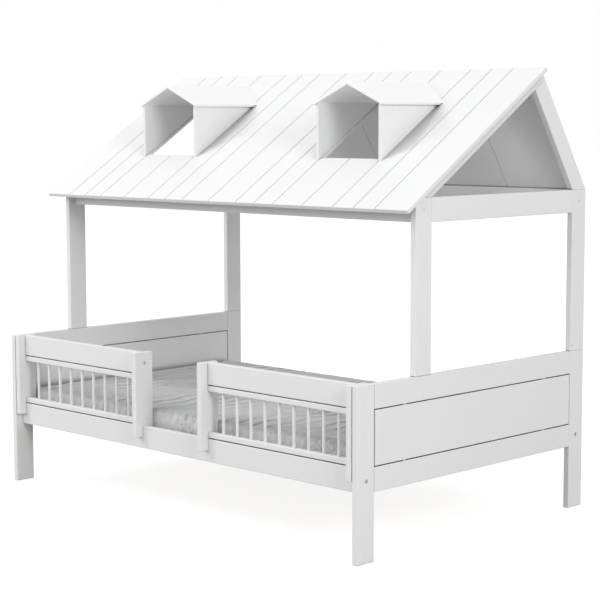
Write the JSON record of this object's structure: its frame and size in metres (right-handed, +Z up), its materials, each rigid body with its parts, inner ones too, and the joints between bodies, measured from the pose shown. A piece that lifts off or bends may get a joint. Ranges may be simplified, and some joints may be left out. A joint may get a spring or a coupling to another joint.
{
  "type": "house frame bed",
  "caption": "Child's low bed with end boards, spindle guard rails either side of a front way in, a quilted mattress and a half-depth house roof with dormers on posts.",
  "frame": {"origin": "on the floor, under the middle of the bed", "axes": "+X along the bed's length, -Y the front with the way in, +Z up"},
  "size_m": [2.132, 1.36, 1.7886],
  "materials": {
    "white_lacquer": "satin white lacquer",
    "bare_pine": "planed, untreated",
    "quilted_fabric": "quilted light grey knit",
    "steel": "zinc plated",
    "cast_zinc": "light cast zinc"
  },
  "bodies": {
    "bed": {"barrel_nuts": "steel", "bed_bolts": "steel", "bed_slats": "bare_pine", "cam_discs": "cast_zinc", "cam_pins": "steel", "dormer_left_roof_left": "white_lacquer", "dormer_left_roof_right": "white_lacquer", "dormer_left_wall_left": "white_lacquer", "dormer_left_wall_right": "white_lacquer", "dormer_right_roof_left": "white_lacquer", "dormer_right_roof_right": "white_lacquer", "dormer_right_wall_left": "white_lacquer", "dormer_right_wall_right": "white_lacquer", "eave_beam_front": "white_lacquer", "eave_beam_rear": "white_lacquer", "eave_screws": "steel", "end_bottom_rail_left": "white_lacquer", "end_bottom_rail_right": "white_lacquer", "end_panel_dowels": "bare_pine", "end_panel_left": "white_lacquer", "end_panel_right": "white_lacquer", "end_top_rail_left": "white_lacquer", "end_top_rail_right": "white_lacquer", "house_post_front_left": "white_lacquer", "house_post_front_right": "white_lacquer", "house_post_rear_left": "white_lacquer", "house_post_rear_right": "white_lacquer", "leg_front_left": "white_lacquer", "leg_front_right": "white_lacquer", "leg_rear_left": "white_lacquer", "leg_rear_right": "white_lacquer", "rafter_front_left": "white_lacquer", "rafter_front_right": "white_lacquer", "rafter_rear_left": "white_lacquer", "rafter_rear_right": "white_lacquer", "roof_panel_front_1": "white_lacquer", "roof_panel_front_2": "white_lacquer", "roof_panel_front_3": "white_lacquer", "roof_panel_front_4": "white_lacquer", "roof_panel_rear_1": "white_lacquer", "roof_panel_rear_2": "white_lacquer", "side_rail_front": "white_lacquer", "side_rail_rear": "white_lacquer", "slat_ledger_front": "bare_pine", "slat_ledger_rear": "bare_pine", "tie_beam_left": "white_lacquer", "tie_beam_right": "white_lacquer"},
    "guard_left": {"guard_left_board": "white_lacquer", "guard_left_bolts": "steel", "guard_left_post_inner": "white_lacquer", "guard_left_post_outer": "white_lacquer", "guard_left_spindle_rails": "white_lacquer", "guard_left_spindles": "white_lacquer"},
    "guard_right": {"guard_right_board": "white_lacquer", "guard_right_bolts": "steel", "guard_right_post_inner": "white_lacquer", "guard_right_post_outer": "white_lacquer", "guard_right_spindle_rails": "white_lacquer", "guard_right_spindles": "white_lacquer"},
    "mattress": {"mattress": "quilted_fabric"}
  },
  "joints": [
    {"name": "guard_left_lift", "type": "slide", "parent": "bed", "child": "guard_left", "axis": [0, 0, 1], "range_m": [0, 0.15]},
    {"name": "guard_right_lift", "type": "slide", "parent": "bed", "child": "guard_right", "axis": [0, 0, 1], "range_m": [0, 0.15]},
    {"name": "mattress_lift", "type": "slide", "parent": "bed", "child": "mattress", "axis": [0, 0, 1], "range_m": [0, 0.25]}
  ]
}
